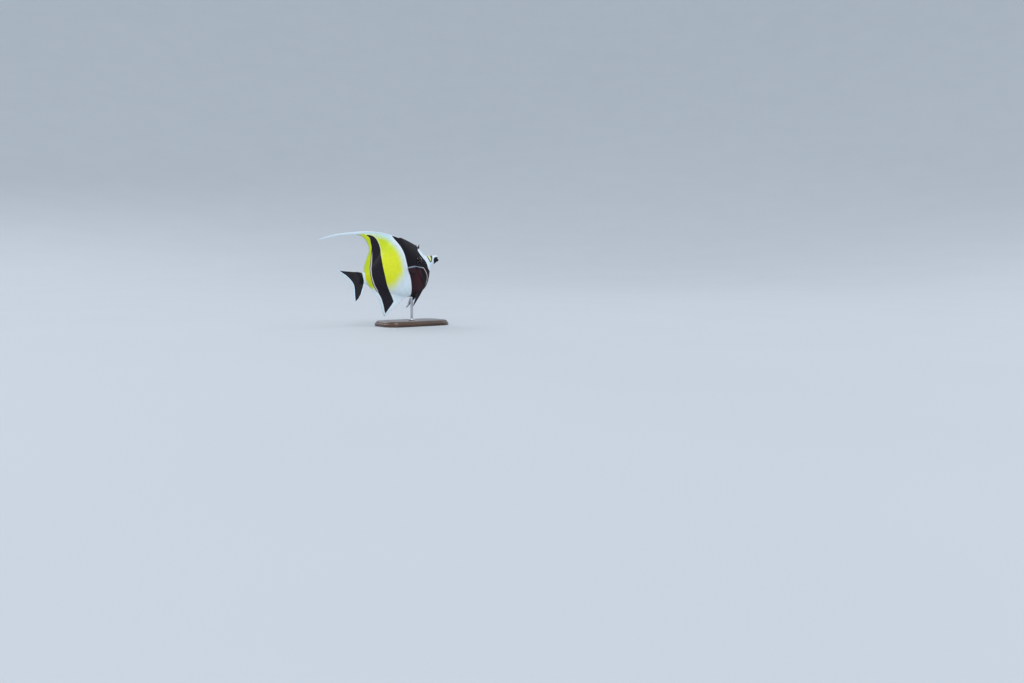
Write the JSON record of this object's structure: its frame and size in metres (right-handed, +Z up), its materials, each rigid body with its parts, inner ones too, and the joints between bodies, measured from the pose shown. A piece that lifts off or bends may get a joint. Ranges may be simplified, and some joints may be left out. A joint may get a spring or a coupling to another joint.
{
  "type": "moorish idol fish model",
  "caption": "Life-size still model of a moorish idol, a deep flat reef fish with a long dorsal streamer, banded and held nose-up on a rod over a plain base.",
  "frame": {"origin": "centre of the underside of the stand's base", "axes": "+X the way the fish heads, +Y the fish's left, +Z up"},
  "size_m": [0.2316, 0.074, 0.1589],
  "materials": {
    "skin_yellow": "lemon yellow painted skin with fine scales, satin",
    "skin_white": "pale bluish white painted skin, satin",
    "skin_black": "brownish black painted skin with fine scales, satin",
    "eye": "dark wet gloss with a thin brown ring",
    "stand_wood": "dark stained wood, satin varnish",
    "stand_steel": "brushed along the rod"
  },
  "bodies": {
    "root": {"snout": "skin_white", "head": "skin_black", "torso": "skin_yellow", "tail_stem": "skin_yellow", "dorsal_fin": "skin_yellow", "dorsal_streamer_front": "skin_white", "dorsal_streamer_middle": "skin_white", "dorsal_streamer_tip": "skin_white", "anal_fin": "skin_yellow", "tail_fin": "skin_black", "pectoral_fin_left": "skin_black", "pectoral_fin_right": "skin_black", "pelvic_fin_left": "skin_black", "pelvic_fin_right": "skin_black", "eye_left": "eye", "eye_right": "eye", "horn_left": "skin_black", "horn_right": "skin_black", "stand_base": "stand_wood", "stand_rod": "stand_steel"}
  },
  "joints": []
}
